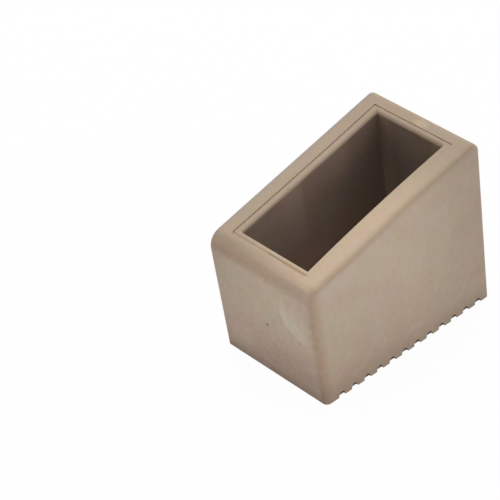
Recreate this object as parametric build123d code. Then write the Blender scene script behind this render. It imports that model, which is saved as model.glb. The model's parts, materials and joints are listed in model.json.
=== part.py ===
from build123d import *
from math import cos, radians, sin, tan
import os

# One moulded rubber foot that a flat rectangular furniture leg stands in. X runs along the
# foot from its low end to its tall end, Y across it and Z up. The sole lies on Z = 0, with
# the origin at its middle. Lengths are in millimetres and angles in degrees.

# Socket for the leg, measured at its floor
socket_floor_length = 60.35
socket_floor_width = 30.1
floor_thickness = 10.5

# Walls round the socket at its floor; the near side is the one at -Y
low_end_wall = 7.89
tall_end_wall = 6.21
near_side_wall = 10.45
far_side_wall = 9.15

# Height of the low end and rise of the top towards the tall end
low_end_height = 45.5
top_slope = 12.5

# Walls lean outwards as they rise; the sides lean the same inside as outside
end_draft = 1.3
socket_end_draft = 0.5
side_draft = 0.3
# The socket's long walls bow inwards by this much at their middle, and the near one splays
# outwards by this much at the low end
wall_belly = 0.25
near_wall_splay = 0.75

# Rounding of the outer edges and of the socket's mouth
low_end_roll = 5.9
tall_end_roll = 2.2
side_roll = 1.9
mouth_lip = 1.25

# Shallow step round the mouth, and the slit at its foot across each end
step_margin_low_end = 2.3
step_margin_tall_end = 1.75
step_margin_near_side = 3.15
step_margin_far_side = 2.75
step_depth = 0.28
slit_width = 0.25
slit_depth = 0.18

# Round-bottomed grooves across the sole, placed from the low end
first_groove = 6.74
last_groove_clearance = 4.5
groove_pitch = 5.61
groove_width = 2.6
groove_depth = 1.85
groove_shoulder = 0.3

end_lean = tan(radians(end_draft))
socket_end_lean = tan(radians(socket_end_draft))
side_lean = tan(radians(side_draft))
slope = radians(top_slope)
sole_length = socket_floor_length + low_end_wall + tall_end_wall - 2 * floor_thickness * end_lean
side_walls = near_side_wall + far_side_wall
sole_width = socket_floor_width + side_walls - 2 * floor_thickness * side_lean
tall_end_height = low_end_height + sole_length * tan(slope)
# Shapes that cut right through the block reach past it
reach = 2 * max(sole_length, sole_width, tall_end_height)
sloping_top = Plane(
    origin=(0, 0, (low_end_height + tall_end_height) / 2),
    x_dir=(cos(slope), 0, sin(slope)),
    z_dir=(-sin(slope), 0, cos(slope)),
)


def leaning_view(base, lean):
    # The block as seen from one side: flat at the sole, with both edges leaning outwards
    half = base / 2
    spread = half + reach * lean
    return Polygon((-half, 0), (half, 0), (spread, reach), (-spread, reach), align=None)


def above_top(depth=0):
    return extrude(sloping_top.offset(-depth) * Rectangle(reach, reach), amount=reach)


def block():
    from_side = extrude(Plane.XZ * leaning_view(sole_length, end_lean), amount=reach, both=True)
    from_end = extrude(Plane.YZ * leaning_view(sole_width, side_lean), amount=reach, both=True)
    return from_side & from_end - above_top()


def top_edges_across(body):
    across = body.edges().filter_by(Axis.Y)
    return across.filter_by(lambda edge: edge.center().Z > low_end_height / 2).sort_by(Axis.X)


def roll_edges(body):
    # The top rolls over both ends, then each long side is rounded all round but at the sole
    body = body.fillet(low_end_roll, [top_edges_across(body)[0]])
    body = body.fillet(tall_end_roll, [top_edges_across(body)[-1]])
    long_sides = body.faces().sort_by(Axis.Y)
    rims = [
        edge
        for side in (long_sides[0], long_sides[-1])
        for edge in side.edges()
        if edge.center().Z > side_roll
    ]
    return body.fillet(side_roll, rims)


def socket_section(height, low_end=0, tall_end=0, near_side=0, far_side=0):
    # The socket's outline at a height, with a margin on each side; the long sides bow inwards
    rise = height - floor_thickness
    half_length = socket_floor_length / 2 + rise * socket_end_lean
    half_width = socket_floor_width / 2 + rise * side_lean
    low, tall = -half_length - low_end, half_length + tall_end
    near, far = -half_width - near_side, half_width + far_side
    middle = (low + tall) / 2
    outline = Line((low, near - near_wall_splay), (low, far))
    outline += ThreePointArc((low, far), (middle, far - wall_belly), (tall, far))
    outline += Line((tall, far), (tall, near))
    outline += ThreePointArc((tall, near), (middle, near + wall_belly), (low, near - near_wall_splay))
    x = (low_end_wall - tall_end_wall) / 2
    y = (near_side_wall - far_side_wall) / 2
    return Pos(x, y, height) * make_face(outline)


def socket_column(*margins):
    bottom = socket_section(floor_thickness, *margins)
    top = socket_section(reach, *margins)
    return loft([bottom, top], ruled=True)


def step_column(slit=0):
    low_end = step_margin_low_end - slit
    tall_end = step_margin_tall_end - slit
    return socket_column(low_end, tall_end, step_margin_near_side, step_margin_far_side)


def cut_step(body):
    return body - (step_column() & above_top(step_depth))


def cut_socket(body):
    # The lip is where the socket breaks through, the smallest loop that lies inside a face
    body = body - socket_column()
    loops = [loop for face in body.faces() for loop in face.inner_wires()]
    lip = min(loops, key=lambda loop: loop.length)
    return body.fillet(mouth_lip, lip.edges())


def cut_slits(body):
    slits = step_column() - step_column(slit_width)
    return body - (slits & above_top(step_depth + slit_depth))


def cut_grooves(body):
    # Each groove has upright walls under a half-round top
    radius = groove_width / 2
    outline = Pos(0, groove_depth - radius) * Circle(radius)
    outline += Pos(0, groove_depth - radius - reach / 2) * Rectangle(groove_width, reach)
    cutter = extrude(Plane.XZ * outline, amount=reach, both=True)
    run = sole_length - first_groove - last_groove_clearance
    for index in range(int(run / groove_pitch) + 1):
        place = first_groove + index * groove_pitch - sole_length / 2
        body = body - Pos(place, 0, 0) * cutter
    across = body.edges().filter_by(Axis.Y).filter_by(lambda edge: edge.center().Z < groove_shoulder)
    # The first and the last are the sole's own ends, which stay sharp
    return body.fillet(groove_shoulder, across.sort_by(Axis.X)[1:-1])


foot = roll_edges(block())
foot = cut_step(foot)
foot = cut_socket(foot)
foot = cut_slits(foot)
foot = cut_grooves(foot)
foot.label = "foot"

os.makedirs("parts", exist_ok=True)
export_step(foot, "parts/foot.step")
print(f"foot: {foot.volume / 1000:.1f} cm3, {len(foot.faces())} faces, sound: {foot.is_valid}")
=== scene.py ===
import json
import math
import bpy
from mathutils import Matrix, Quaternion, Vector

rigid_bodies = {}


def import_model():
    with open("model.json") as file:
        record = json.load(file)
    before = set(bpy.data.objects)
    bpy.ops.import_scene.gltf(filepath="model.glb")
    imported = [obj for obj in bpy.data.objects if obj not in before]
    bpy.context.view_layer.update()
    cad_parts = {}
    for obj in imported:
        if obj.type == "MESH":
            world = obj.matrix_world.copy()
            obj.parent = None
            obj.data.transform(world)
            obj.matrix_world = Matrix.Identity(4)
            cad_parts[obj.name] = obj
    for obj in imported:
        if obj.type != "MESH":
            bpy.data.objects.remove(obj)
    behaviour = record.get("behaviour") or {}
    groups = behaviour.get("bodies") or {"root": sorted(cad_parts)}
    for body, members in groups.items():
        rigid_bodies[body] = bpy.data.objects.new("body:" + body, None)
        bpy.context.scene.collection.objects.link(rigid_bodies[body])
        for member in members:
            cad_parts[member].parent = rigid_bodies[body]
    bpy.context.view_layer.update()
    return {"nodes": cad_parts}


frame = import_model()


# an output socket that takes part in Python expressions
class Sock:
    def __init__(self, nodes, out):
        self.nodes = nodes
        self.out = out

    def math(self, operation, *parts):        # one Math node; parts are sockets or numbers
        return self.nodes.add("Math", {"operation": operation}, dict(enumerate(parts)))

    def ramp(self, start, end):               # 0 at start, 1 at end, eased between
        return self.nodes.add("MapRange", {"interpolation_type": "SMOOTHSTEP"},
                              {"Value": self, "From Min": start, "From Max": end})

    def band(self, low, fromLow, toHigh, high):  # 1 from fromLow to toHigh, 0 below low and above high
        return self.ramp(low, fromLow) * self.ramp(high, toHigh)

    def __add__(self, other):
        return self.math("ADD", self, other)

    def __radd__(self, other):
        return self.math("ADD", other, self)

    def __sub__(self, other):
        return self.math("SUBTRACT", self, other)

    def __rsub__(self, other):
        return self.math("SUBTRACT", other, self)

    def __mul__(self, other):
        return self.math("MULTIPLY", self, other)

    def __rmul__(self, other):
        return self.math("MULTIPLY", other, self)

    def __truediv__(self, other):
        return self.math("DIVIDE", self, other)

    def __pow__(self, other):
        return self.math("POWER", self, other)

    def __abs__(self):
        return self.math("ABSOLUTE", self)

    def orMore(self, other):
        return self.math("MAXIMUM", self, other)

    def orLess(self, other):
        return self.math("MINIMUM", self, other)


# a node tree, and the one way to add a node to it
class Nodes:
    def __init__(self, tree):
        self.tree = tree

    def feed(self, place, part):              # a link or a plain value into an input
        if isinstance(part, Sock):
            self.tree.links.new(part.out, place)
        else:
            place.default_value = part

    def add(self, kind, settings=None, values=None, out=0):
        node = self.tree.nodes.new("ShaderNode" + kind)
        for name, value in (settings or {}).items():
            setattr(node, name, value)
        for place, part in (values or {}).items():
            self.feed(node.inputs[place], part)
        return Sock(self, node.outputs[out]) if node.outputs else None

    def mix(self, factor, first, second, blend="MIX"):
        return self.add("Mix", {"data_type": "RGBA", "blend_type": blend},
                        {0: factor, 6: first, 7: second}, 2)

    def noise(self, at, scale, detail, roughness):
        return self.add("TexNoise", {"noise_dimensions": "3D"},
                        {"Vector": at, "Scale": scale, "Detail": detail, "Roughness": roughness})

    def millimetres(self):                    # place on the object, in mm
        coords = self.add("TexCoord", out="Object")
        return self.add("VectorMath", {"operation": "SCALE"}, {0: coords, "Scale": 1000.0})

    def moved(self, vector, shift):
        return self.add("VectorMath", {"operation": "ADD"}, {0: vector, 1: shift})

    def split(self, vector):
        return [self.add("SeparateXYZ", None, {0: vector}, axis) for axis in range(3)]

    def viewed(self):                         # 1 for a ray from the camera, off gloss or through glass
        rays = ("Is Camera Ray", "Is Glossy Ray", "Is Transmission Ray")
        camera, glossy, through = [self.add("LightPath", out=ray) for ray in rays]
        return camera.orMore(glossy).orMore(through)


def newMaterial(name):
    material = bpy.data.materials.new(name)
    material.use_nodes = True
    material.node_tree.nodes.clear()
    return material, Nodes(material.node_tree)


def rgb(r, g, b):
    return (r, g, b, 1.0)


# the rubber foot: its measures in mm, as the part was made
foot = {
    "halfLength": 36.985, "halfWidth": 24.795,       # outside, at the sole
    "endLean": 0.022693, "sideLean": 0.005236,       # how far the walls lean outwards as they rise
    "topMiddle": 53.70, "topRise": 0.22169,          # the sloping top
    "lowRoll": 5.9,                                  # rounding between the top and the low end
    "socketAt": (0.84, 0.65), "socketHalf": (30.083, 14.995), "socketEndLean": 0.008727,
    "stepAt": (0.565, 0.45), "stepHalf": (32.108, 17.945),
    "belly": 0.25, "bellyReach": 30.6, "splay": 0.75,  # bow of the long walls, splay of the near one
    "lipSofter": 0.22, "tallLipSofter": 0.33,        # how much deeper the lip's tone reaches, at the tall end
}

# tones of the rubber, in linear light
tones = {
    "face": rgb(0.520, 0.412, 0.312),                # paler on the upright faces than on the top, as painted light
    "rim": rgb(0.435, 0.331, 0.237),                 # sloping top
    "litRim": rgb(0.575, 0.436, 0.308),             # sloping top, near side and low end, paler as painted light
    "rubbedAndShaded": rgb(0.455, 0.326, 0.228),              # edges of the low end, worn and darkened as painted shade
    "wornAndShaded": rgb(0.444, 0.328, 0.224),                # top edge of the near side, worn and darkened as painted shade
    "coolRimLight": rgb(0.365, 0.312, 0.272),                # top edge of the far side, a painted cool rim light
    "shadedWell": rgb(0.268, 0.198, 0.162),                # socket, near the low end, darkened as painted shade
    "deepShadedWell": rgb(0.172, 0.130, 0.104),            # socket, at the tall end, darker still as painted shade
    "recessShade": rgb(0.150, 0.098, 0.060),                # painted shade in the pit and the lines round the step
    "tan": rgb(0.400, 0.265, 0.140),                 # painted soft shadow in the crease beside the split
    "haze": rgb(0.620, 0.540, 0.450),                # wipe marks and smears
}

# noises on the rubber: scale for a coordinate in mm, detail, roughness
textures = {
    "clouds": (0.11, 3.0, 0.6), "patches": (0.45, 2.0, 0.6), "grain": (2.2, 2.0, 0.7),
    "drift": (0.13, 6.0, 0.85), "wipes": (1.0, 2.0, 0.55), "smear": (2.5, 2.0, 0.6),
    "fineBump": (3.2, 2.0, 0.6), "softBump": (0.8, 2.0, 0.5),
}


# where a point lies on the foot, in mm: the low end is at -X and the near side at -Y
class Place:
    def __init__(self, nodes):
        self.at = nodes.millimetres()
        x, y, z = nodes.split(self.at)
        self.x, self.y, self.z = x, y, z
        # distances in from the outer faces, and the turn from -1 on the top to 1 on the low face
        self.depth = (foot["topMiddle"] + foot["topRise"] * x - z) * math.cos(math.atan(foot["topRise"]))
        self.toSide = foot["halfWidth"] + foot["sideLean"] * z - abs(y)
        self.toLow = foot["halfLength"] + foot["endLean"] * z + x
        self.toTall = foot["halfLength"] + foot["endLean"] * z - x
        self.lowTurn = (self.depth - self.toLow) / foot["lowRoll"]
        # distances from the outlines of the socket and of its step, whose long sides bow
        along = x / foot["bellyReach"]
        splay = y.ramp(1.0, -1.0) * (foot["splay"] / 2) * along * (1.0 - along)
        self.bow = foot["belly"] * (1.0 - along ** 2.0) + splay
        outOfSocket = self.outOf(foot["socketAt"], foot["socketHalf"])
        self.fromStep = abs(self.outOf(foot["stepAt"], foot["stepHalf"]))
        # regions of the foot, each 1 inside and 0 outside; the socket starts below its lip
        lip = foot["lipSofter"] * x.ramp(-10.0, 25.0) + foot["tallLipSofter"] * x.ramp(29.5, 31.0)
        self.inSocket = outOfSocket.ramp(0.9, 0.1) * (self.depth - lip).ramp(0.35, 1.3)
        self.onTop = self.depth.ramp(1.25, 0.8) * self.toSide.orLess(self.toLow).ramp(0.4, 1.6)
        self.onLow = self.toLow.ramp(1.2, 0.6) * self.toSide.ramp(0.6, 1.4)
        self.onLowRoll = self.lowTurn.ramp(-0.9, -0.4) * self.toLow.ramp(5.5, 4.0)

    def outOf(self, middle, half):            # how far out of an outline of this middle and half size
        ends = abs(self.x - middle[0]) - (half[0] + foot["socketEndLean"] * self.z)
        sides = abs(self.y - middle[1]) - (half[1] + foot["sideLean"] * self.z)
        return ends.orMore(sides + self.bow)


def fromMark(first, second, middle, half):    # 1 on the outline of an oval mark, less inside it
    return (((first - middle[0]) / half[0]) ** 2.0 + ((second - middle[1]) / half[1]) ** 2.0) ** 0.5


# painted shade and light on the outer faces: how much darker or paler they get, as shares of their tone
shadeGradients = {
    "darkerTall": 0.25, "darkerTallOnTop": 0.08,     # towards the tall end
    "darkerSole": 0.16, "lowDarkerSole": 0.19, "lowAtSole": 0.12,  # towards the sole
    "rollDarkerFar": 0.10, "lowDarkerFar": 0.03, "lowFarCorner": 0.07,  # towards the far side
    "soleStrip": 0.08, "soleStripLow": 0.06, "palerTall": 0.10,  # low on the long sides
    "lowPalerFar": 0.09, "lowDarkerNear": 0.05,      # across the low face
}


# painted light: the upright faces' paler tone, and a paler tone on the top's near side and low end
def paintedLightTones(nodes, here):
    nearRimLight = here.y.ramp(-12.0, -17.0) * here.x.ramp(33.0, -4.0)
    lowStripLight = here.y.ramp(20.0, -24.0) * here.x.ramp(-28.5, -31.0)
    colour = nodes.mix(here.onTop, tones["face"], tones["rim"])
    return nodes.mix(here.onTop * nearRimLight.orMore(lowStripLight), colour, tones["litRim"])


# painted shade and light: darker towards the tall end, the sole and the far side, paler in places low on the
# long sides and across the low face
def paintedShadeGradients(here):
    x, y, z, onLow = here.x, here.y, here.z, here.onLow
    lessOnTop = shadeGradients["darkerTall"] - shadeGradients["darkerTallOnTop"]
    towardsTall = x.ramp(0.0, 40.0) * (shadeGradients["darkerTall"] - lessOnTop * here.onTop)
    towardsSole = shadeGradients["lowDarkerSole"] * z.ramp(26.0, -2.0) + shadeGradients["lowAtSole"] * z.ramp(5.0, 0.0)
    towardsSole = shadeGradients["darkerSole"] * z.ramp(34.0, -6.0) + onLow * towardsSole
    towardsFar = shadeGradients["rollDarkerFar"] * here.onLowRoll + shadeGradients["lowDarkerFar"] * onLow
    farCorner = shadeGradients["lowFarCorner"] * onLow * y.ramp(10.0, 22.0) * z.ramp(26.0, 40.0)
    towardsFar = towardsFar * y.ramp(-6.0, 24.0) + farCorner
    soleStrip = shadeGradients["soleStrip"] * z.ramp(8.0, 1.0)
    soleStrip = soleStrip + shadeGradients["soleStripLow"] * z.ramp(15.0, 2.0) * x.ramp(20.0, -16.0)
    onSides = shadeGradients["palerTall"] * z.ramp(27.0, 8.0) * x.ramp(2.0, 30.0) - soleStrip
    across = shadeGradients["lowPalerFar"] * y.ramp(0.0, 16.0) - shadeGradients["lowDarkerNear"] * y.ramp(8.0, -6.0)
    shade = (1.0 - towardsTall) * (1.0 - towardsSole) * (1.0 - towardsFar)
    return shade * (1.0 + (1.0 - onLow) * onSides + onLow * z.ramp(28.0, 5.0) * across)


# edges: a browner worn tone, darkened as painted shade where the rolls turn from the light, and a painted
# cool rim light on the far one: how strongly each one shows
edges = {
    "low": 0.55, "lowMoreFar": 0.4, "corner": 0.85, "cornerFar": 0.5,
    "near": 0.68, "nearMoreTall": 0.3, "climb": 0.5, "far": 0.9, "line": 0.115,
}


def lowEdges(here):                           # the low end's top edge and its two upright ones, worn and darkened as painted shade
    topEdge = here.toLow.orMore(here.depth * 0.75).ramp(4.6, 2.2) * here.lowTurn.ramp(-0.34, -0.02)
    topEdge = topEdge * (edges["low"] + edges["lowMoreFar"] * here.y.ramp(-22.0, 6.0))
    upright = here.y.ramp(4.0, -8.0) + edges["cornerFar"] * here.y.ramp(-4.0, 8.0) * here.z.ramp(22.0, 40.0)
    upright = here.toSide.orMore(here.toLow).ramp(4.6, 0.8) * upright
    return topEdge.orMore(upright * edges["corner"])


# worn tones with painted shade on the near and low edges, and a painted cool rim light on the far top edge
def wornAndShadedEdges(nodes, here, colour, rubbedAndShaded):
    climb = edges["climb"] * here.x.ramp(-20.0, 6.0)  # the near edge's worn and shaded band climbs towards the tall end
    near = (here.toSide - climb).ramp(3.9, 0.9) * (here.depth + climb).ramp(1.5, 0.5)
    near = near * (edges["near"] + edges["nearMoreTall"] * here.x.ramp(-16.0, 14.0)) * here.y.ramp(2.0, 0.0)
    far = edges["far"] * here.toSide.ramp(3.3, 1.1) * here.depth.ramp(1.4, 0.6) * here.y.ramp(0.0, 4.0)
    colour = nodes.mix(near, colour, tones["wornAndShaded"])
    colour = nodes.mix(rubbedAndShaded, colour, tones["rubbedAndShaded"])
    return nodes.mix(far, colour, tones["coolRimLight"])


def darkLine(here):                           # painted shade along the near edge, below its worn band
    edgeLine = here.depth - here.toSide
    line = edgeLine.band(-3.0, -1.9, -1.0, 0.3) * here.y.ramp(2.0, 0.0) * here.x.ramp(-12.0, 22.0)
    return edges["line"] * line * here.depth.ramp(2.6, 1.6)


# wipe marks low on the faces, drawn out aslant, and haze high up near the low end
wiping = {"marks": 0.28, "haze": 0.18, "stretch": (0.09, 0.30), "slant": (0.06, -0.42)}


def wipedPlace(nodes, here):
    aslant = here.x + here.y
    first, second = [
        aslant * stretch + here.z * slant for stretch, slant in zip(wiping["stretch"], wiping["slant"])]
    return nodes.add("CombineXYZ", None, {0: first, 1: second, 2: 0.0})


def wipeMarks(nodes, here, colour, wiped):
    wipes = nodes.noise(wiped, *textures["wipes"]).ramp(0.54, 0.74) * here.z.ramp(26.0, 8.0)
    colour = nodes.mix(wipes * wiping["marks"], colour, tones["haze"])
    hazy = here.x.band(-36.0, -30.0, -10.0, 6.0) * here.z.ramp(33.0, 43.0) * here.depth.ramp(1.2, 2.6)
    return nodes.mix(hazy * wiping["haze"] * (1.0 - here.inSocket), colour, tones["haze"])


# marks on the low end, the pit darkened as painted shade: middles and half sizes in mm, across and up, and
# how strongly they show
lowMarks = {
    "smearAt": (-17.5, 32.0), "smearRadius": 10.0, "smearEdge": 0.8,
    "smearTowards": (0.68, -0.73), "smear": 0.42, "smearStreaks": 0.3,
    "patchAt": (14.5, 9.0), "patchHalf": (8.0, 6.5), "patch": 0.35,
    "pitAt": (-0.1, 21.3), "pitHalf": (0.5, 0.75), "pit": 0.85,
}


def smearAndPatch(nodes, here, colour, wiped):
    across, up = here.y - lowMarks["smearAt"][0], here.z - lowMarks["smearAt"][1]
    radius, towards = lowMarks["smearRadius"], lowMarks["smearTowards"]
    smear = ((across ** 2.0 + up ** 2.0) ** 0.5).ramp(radius, radius - lowMarks["smearEdge"])
    # crisp at its lower edge, and fading upwards and towards the near side
    smear = smear * (across * towards[0] + up * towards[1]).ramp(-5.0, 6.5)
    smear = smear * here.y.ramp(-22.0, -18.5) * here.z.ramp(38.0, 30.0)
    streaks = nodes.noise(wiped, *textures["smear"])
    smear = smear * (lowMarks["smear"] + lowMarks["smearStreaks"] * streaks)
    patch = fromMark(here.y, here.z, lowMarks["patchAt"], lowMarks["patchHalf"]).ramp(1.2, 0.2)
    return nodes.mix(here.onLow * (smear + lowMarks["patch"] * patch), colour, tones["haze"])


def lowPit(here):
    return here.onLow * fromMark(here.y, here.z, lowMarks["pitAt"], lowMarks["pitHalf"]).ramp(1.25, 0.55)


# inside of the socket: its painted shade and light, as shares of its tones
socket = {
    "shade": 0.98, "palerDown": 0.75,                # painted light, paler further down
    "tallWall": 0.12, "tallCorners": 0.3,            # painted shade on the tall end's wall, painted light in its corners
    "longWallsTop": 0.09, "lowEnd": 0.12,            # painted light near the mouth, and painted shade there at the low end
    "streaks": 0.15, "firstStreak": 1.1,             # two streaks of painted light up the far wall
}


# the socket's dark tones are painted shade
def socketColour(nodes, here, colour):
    shadedWell = nodes.mix(here.x.ramp(-14.0, 30.0), tones["shadedWell"], tones["deepShadedWell"])
    return nodes.mix(here.inSocket, colour, shadedWell)


def socketShade(here):
    x, y, z, depth = here.x, here.y, here.z, here.depth
    shade = socket["shade"] + socket["palerDown"] * depth.ramp(9.0, 39.0)
    shade = shade - socket["tallWall"] * x.ramp(30.0, 31.0)
    shade = shade + socket["longWallsTop"] * x.band(-2.0, 12.0, 30.0, 31.0) * depth.ramp(14.0, 6.0)
    lowEnd = depth.ramp(6.0, 14.0) - depth.ramp(6.0, 2.5)
    shade = shade + socket["lowEnd"] * x.ramp(-10.0, -18.0) * lowEnd
    corners = x.ramp(30.3, 30.9) * (y.ramp(8.0, 12.5) + y.ramp(-8.0, -12.0))
    streaks = socket["firstStreak"] * x.band(-17.0, -8.0, -5.2, -3.2) * z.ramp(26.0, 34.0)
    streaks = (streaks + x.band(5.0, 13.0, 14.0, 19.0) * z.ramp(40.0, 48.0)) * y.ramp(8.0, 12.0)
    return shade * (1.0 + socket["tallCorners"] * corners) + socket["streaks"] * streaks


# the step round the mouth: painted shade along its far side; split, hair line, crease and nick at the low
# end, each darkened as painted shade
step = {
    "farLineShade": 0.22, "split": 0.95, "hair": 0.32, "crease": 0.75, "tallSlitLight": 0.5,
    "nick": 0.4, "nickAt": (-32.05, 17.9), "nickHalf": (1.0, 1.0),
}


def stepMarks(nodes, here, colour):
    x, y, depth = here.x, here.y, here.depth
    lowEnd = x.ramp(-30.0, -31.0)
    line = here.fromStep.ramp(0.34, 0.10) * depth.ramp(1.5, 1.0)
    split = step["split"] * lowEnd * y.band(-8.0, -6.5, 0.6, 1.6)
    hair = step["hair"] * lowEnd * y.band(0.6, 1.6, 16.6, 17.3)
    nick = fromMark(x, y, step["nickAt"], step["nickHalf"]).ramp(0.95, 0.4) * depth.ramp(1.2, 0.8)
    recessShade = line * (step["farLineShade"] * y.ramp(16.6, 17.4) + split + hair)
    colour = nodes.mix(recessShade.orMore(step["nick"] * nick), colour, tones["recessShade"])
    crease = here.fromStep.ramp(0.95, 0.3) * depth.ramp(1.5, 1.0) * lowEnd
    crease = crease * y.band(-17.2, -16.4, -7.5, -5.0)
    return nodes.mix(crease * step["crease"], colour, tones["tan"])


def tallSlitLight(here):                           # painted light in the slit at the tall end, lifting its shade
    slit = here.fromStep.ramp(0.45, 0.2) * here.depth.band(0.22, 0.36, 0.6, 0.8)
    return step["tallSlitLight"] * here.x.ramp(30.0, 31.5) * slit


# a pale spot on the tall end's rim, along and across, in mm
spot = {"at": (34.6, -1.8), "half": (1.6, 3.4), "strength": 0.75}


def paleSpot(nodes, here, colour):
    mark = fromMark(here.x, here.y, spot["at"], spot["half"]).ramp(1.2, 0.4)
    return nodes.mix(mark * here.onTop * spot["strength"], colour, tones["litRim"])


# painted shade on the grooves' walls: how much it darkens, and the heights in mm between which it lies
grooves = {"recessShade": 0.7, "from": (0.1, 0.35), "to": (1.9, 2.1)}


def grooveShade(here):
    between = here.toSide.ramp(0.1, 0.5) * here.toLow.orLess(here.toTall).ramp(2.2, 2.9)
    return grooves["recessShade"] * between * here.z.band(*grooves["from"], *grooves["to"])


# the rubber's tone drifts between pinkish and olive, and between warm and cool
drift = {
    "pinkFrom": (5.0, 60.0, 0.0), "coolFrom": (80.0, 40.0, 20.0), "moreInSocket": 0.7,
    "pinkRed": 0.20, "pinkGreen": 0.26, "pinkBlue": 0.05, "coolBlue": 0.54,
}

# how much redder or less blue the rubber gets
warmth = {
    "sole": 0.055, "soleOnLow": 0.035, "soleLessTall": 0.035, "tall": 0.02,  # towards the sole and tall end
    "mouthRed": 0.06, "mouthBlue": 0.08,             # just inside the socket, tinting its painted shade
    "socketLow": 0.055, "socketTall": 0.005,         # taken off again in the socket, towards each end
}


def tintedShade(nodes, here, shade):          # the shade of each channel
    strength = 1.0 + drift["moreInSocket"] * here.inSocket
    pinker, cooler = [
        (nodes.noise(nodes.moved(here.at, drift[start]), *textures["drift"]) - 0.5) * strength
        for start in ("pinkFrom", "coolFrom")]
    towardsSole = warmth["sole"] + warmth["soleOnLow"] * here.onLow
    towardsSole = towardsSole - warmth["soleLessTall"] * here.x.ramp(-8.0, 12.0)
    mouth = here.inSocket * here.depth.ramp(20.0, 6.0)
    socketLess = warmth["socketLow"] - (warmth["socketLow"] - warmth["socketTall"]) * here.x.ramp(-12.0, 4.0)
    redder = here.z.ramp(30.0, 5.0) * towardsSole + warmth["mouthRed"] * mouth - socketLess * here.inSocket
    redder = redder + warmth["tall"] * here.x.ramp(24.0, 32.0) * (1.0 - here.onTop)
    red = shade * (1.0 + redder + drift["pinkRed"] * pinker)
    green = shade * (1.0 - drift["pinkGreen"] * pinker)
    bluer = drift["coolBlue"] * cooler - drift["pinkBlue"] * pinker - warmth["mouthBlue"] * mouth
    return nodes.add("CombineColor", None, {0: red, 1: green, 2: shade * (1.0 + bluer)})


# the rubber's surface: how much each noise shows in it, its gloss and its bump
surface = {
    "clouds": 0.16, "patches": 0.15, "patchesLessOnTop": 0.04, "patchesMoreOnLow": 0.12,
    "grain": 0.14, "grainMoreOnLow": 0.08, "socketPatches": 0.25, "socketGrain": 0.2,
    "roughness": 0.62, "roughGrain": 0.14, "roughClouds": 0.10, "rubbedSmooth": 0.06, "specular": 0.3,
    "bumpStrength": 0.5, "bumpDistance": 0.00006, "fineBump": 0.35, "pitDepth": 3.0,
}


def rubberFinish():
    material, nodes = newMaterial("matt moulded rubber")
    here = Place(nodes)
    clouds, patches, grain = [
        nodes.noise(here.at, *textures[name]) - 0.5 for name in ("clouds", "patches", "grain")]
    patchiness = surface["patches"] - surface["patchesLessOnTop"] * here.onTop
    patchiness = patchiness + surface["patchesMoreOnLow"] * here.onLow
    graininess = surface["grain"] + surface["grainMoreOnLow"] * here.onLow
    mottle = surface["clouds"] * clouds + patchiness * patches + graininess * grain

    rubbedAndShaded = lowEdges(here)
    pit = lowPit(here)
    wiped = wipedPlace(nodes, here)
    colour = paintedLightTones(nodes, here)
    colour = wornAndShadedEdges(nodes, here, colour, rubbedAndShaded)
    colour = wipeMarks(nodes, here, colour, wiped)
    colour = smearAndPatch(nodes, here, colour, wiped)
    # painted shade in the pit
    colour = nodes.mix(pit * lowMarks["pit"], colour, tones["recessShade"])
    colour = socketColour(nodes, here, colour)
    colour = stepMarks(nodes, here, colour)
    colour = paleSpot(nodes, here, colour)

    # painted shade and light multiply the tones here, with the mottle
    outside = paintedShadeGradients(here) * (1.0 - darkLine(here)) * (1.0 + mottle)
    inside = socketShade(here) + surface["socketPatches"] * patches + surface["socketGrain"] * grain
    shade = outside * (1.0 - here.inSocket) + inside * here.inSocket
    shade = shade * (1.0 + tallSlitLight(here)) * (1.0 - grooveShade(here))
    colour = nodes.mix(1.0, colour, tintedShade(nodes, here, shade), "MULTIPLY")

    height = surface["fineBump"] * nodes.noise(here.at, *textures["fineBump"])
    height = height + nodes.noise(here.at, *textures["softBump"]) - surface["pitDepth"] * pit
    bump = nodes.add("Bump", None, {
        "Strength": surface["bumpStrength"], "Distance": surface["bumpDistance"], "Height": height})
    rough = surface["roughness"] + surface["roughGrain"] * grain + surface["roughClouds"] * clouds
    rough = rough - surface["rubbedSmooth"] * rubbedAndShaded
    shader = nodes.add("BsdfPrincipled", None, {
        "Base Color": colour, "Roughness": rough, "Specular IOR Level": surface["specular"], "Normal": bump})
    nodes.add("OutputMaterial", None, {"Surface": shader})
    return material


footNode = frame["nodes"]["foot"]
footNode.data.materials.clear()
footNode.data.materials.append(rubberFinish())
print("rubber finish on the foot")


# white seen directly, a soft even light for everything else
studio = {
    "ambient": 0.5, "floorTone": 0.9, "floorWhite": 0.97, "floorSize": 6.0,
    "underFootBounce": rgb(0.85, 0.62, 0.45),              # the floor in the grooves, tinted as painted warm bounce light off the rubber
}


def makeWorld():
    world = bpy.data.worlds.new("studio")
    bpy.context.scene.world = world
    world.use_nodes = True
    nodes = Nodes(world.node_tree)
    background = world.node_tree.nodes["Background"]
    background.inputs["Color"].default_value = rgb(1.0, 1.0, 1.0)
    strength = studio["ambient"] + (1.0 - studio["ambient"]) * nodes.viewed()
    nodes.feed(background.inputs["Strength"], strength)


def floorFinish():
    material, nodes = newMaterial("pale studio floor")
    # under the foot the floor stays in its real shadow, which shows in the grooves, with a painted warm
    # bounce light
    x, y = nodes.split(nodes.millimetres())[:2]
    outOfFoot = (abs(x) - foot["halfLength"]).orMore(abs(y) - foot["halfWidth"])
    clear = outOfFoot.ramp(-1.1, -0.75)
    tone = nodes.mix(clear, studio["underFootBounce"], rgb(*[studio["floorTone"]] * 3))
    matt = nodes.add("BsdfDiffuse", None, {"Color": tone})
    white = nodes.add("Emission", None, {"Color": rgb(1.0, 1.0, 1.0), "Strength": 1.0})
    whiteness = nodes.viewed() * clear * studio["floorWhite"]
    both = nodes.add("MixShader", None, {0: whiteness, 1: matt, 2: white})
    nodes.add("OutputMaterial", None, {"Surface": both})
    return material


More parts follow.
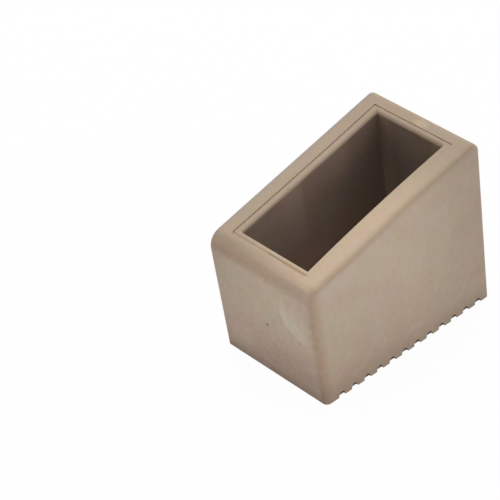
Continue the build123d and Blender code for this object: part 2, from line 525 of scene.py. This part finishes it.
def makeFloor():
    half = studio["floorSize"] / 2
    corners = [(-half, -half, 0), (half, -half, 0), (half, half, 0), (-half, half, 0)]
    mesh = bpy.data.meshes.new("floor")
    mesh.from_pydata(corners, [], [(0, 1, 2, 3)])
    mesh.materials.append(floorFinish())
    floor = bpy.data.objects.new("floor", mesh)
    bpy.context.scene.collection.objects.link(floor)


def onSphere(azimuth, elevation):             # a direction, azimuth 0 towards -Y and 90 towards +X
    turn, rise = math.radians(azimuth), math.radians(elevation)
    return Vector((math.sin(turn) * math.cos(rise), -math.cos(turn) * math.cos(rise), math.sin(rise)))


# softboxes: azimuth, elevation, power in watts; they are square, side and distance in metres
lamps = {
    "back softbox": (135, 53, 6.2),
    "front fill": (20, 25, 2.4),
    "low end fill": (240, 25, 1.3),
}
lampSide = 0.7
lampDistance = 1.1


def makeLamps():
    for name, (azimuth, elevation, watts) in lamps.items():
        light = bpy.data.lights.new(name, "AREA")
        light.shape = "SQUARE"
        light.size = lampSide
        light.energy = watts
        lamp = bpy.data.objects.new(name, light)
        bpy.context.scene.collection.objects.link(lamp)
        towards = onSphere(azimuth, elevation)
        lamp.location = towards * lampDistance
        lamp.rotation_mode = "QUATERNION"
        lamp.rotation_quaternion = towards.to_track_quat("Z", "Y")


# the photograph's camera: degrees, metres, and millimetres for the lens and sensor
view = {
    "azimuth": -35.5045, "elevation": 37.1210, "roll": -9.0926,
    "aim": (-0.016318, 0.032644, 0.022590), "distance": 0.844587, "nearest": 0.01,
    "lens": 181.957, "sensor": 36.0,
}


def makeCamera():
    camera = bpy.data.objects.new("camera", bpy.data.cameras.new("camera"))
    bpy.context.scene.collection.objects.link(camera)
    back = onSphere(view["azimuth"], view["elevation"])
    roll = Quaternion((0, 0, 1), math.radians(view["roll"]))
    camera.location = Vector(view["aim"]) + back * view["distance"]
    camera.rotation_mode = "QUATERNION"
    camera.rotation_quaternion = (-back).to_track_quat("-Z", "Y") @ roll
    camera.data.lens = view["lens"]
    camera.data.sensor_width = view["sensor"]
    camera.data.clip_start = view["nearest"]
    bpy.context.scene.camera = camera


for leftover in [thing for thing in bpy.data.objects if thing.name in ("Cube", "Light", "Camera")]:
    bpy.data.objects.remove(leftover)
makeWorld()
makeFloor()
makeLamps()
makeCamera()
bpy.context.scene.view_settings.view_transform = "Standard"
print("world, floor, lamps and camera made")
